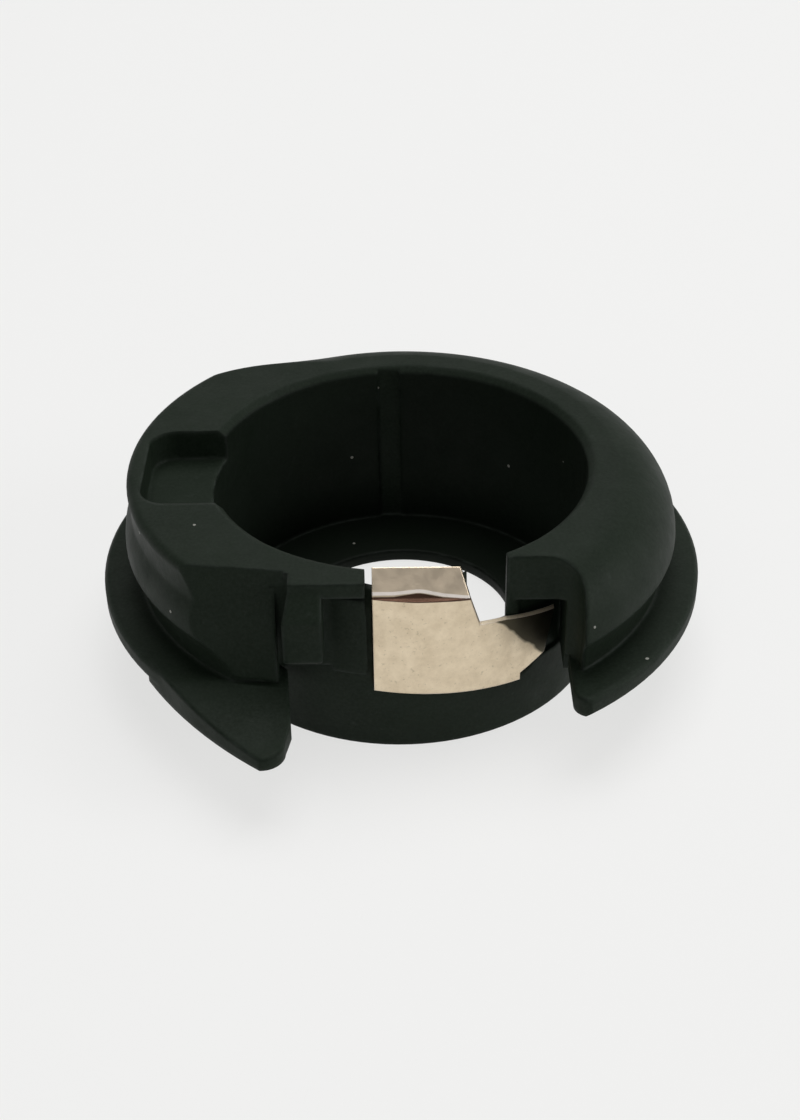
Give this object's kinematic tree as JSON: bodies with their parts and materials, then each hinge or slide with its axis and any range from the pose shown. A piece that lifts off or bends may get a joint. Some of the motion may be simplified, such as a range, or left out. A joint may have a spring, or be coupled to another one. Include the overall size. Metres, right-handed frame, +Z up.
{
  "type": "bobbin case",
  "caption": "Round black bobbin case with a thick rim, a bearing flange, a stop horn and a leaf spring at the front.",
  "frame": {"origin": "on the axis of the bore, at the level of the foot that the cup stands on", "axes": "+Z up out of the cup's mouth, -Y towards the tension spring at the front, +X to the right seen from the front"},
  "size_m": [0.035, 0.0352, 0.0117],
  "materials": {
    "moulded_case": "satin black moulded plastic",
    "spring_steel": "warm bright sheet steel"
  },
  "bodies": {
    "case": {"case_body": "moulded_case"},
    "spring": {"tension_spring": "spring_steel"}
  },
  "joints": [
    {"name": "spring_flex", "type": "hinge", "parent": "case", "child": "spring", "pos_m": [-0.00142, -0.0113, 0.0074], "axis": [0, 0, -1], "range_deg": [0, 2.5], "stiffness_Nm_per_rad": 0.05, "springref_deg": -2.86}
  ]
}
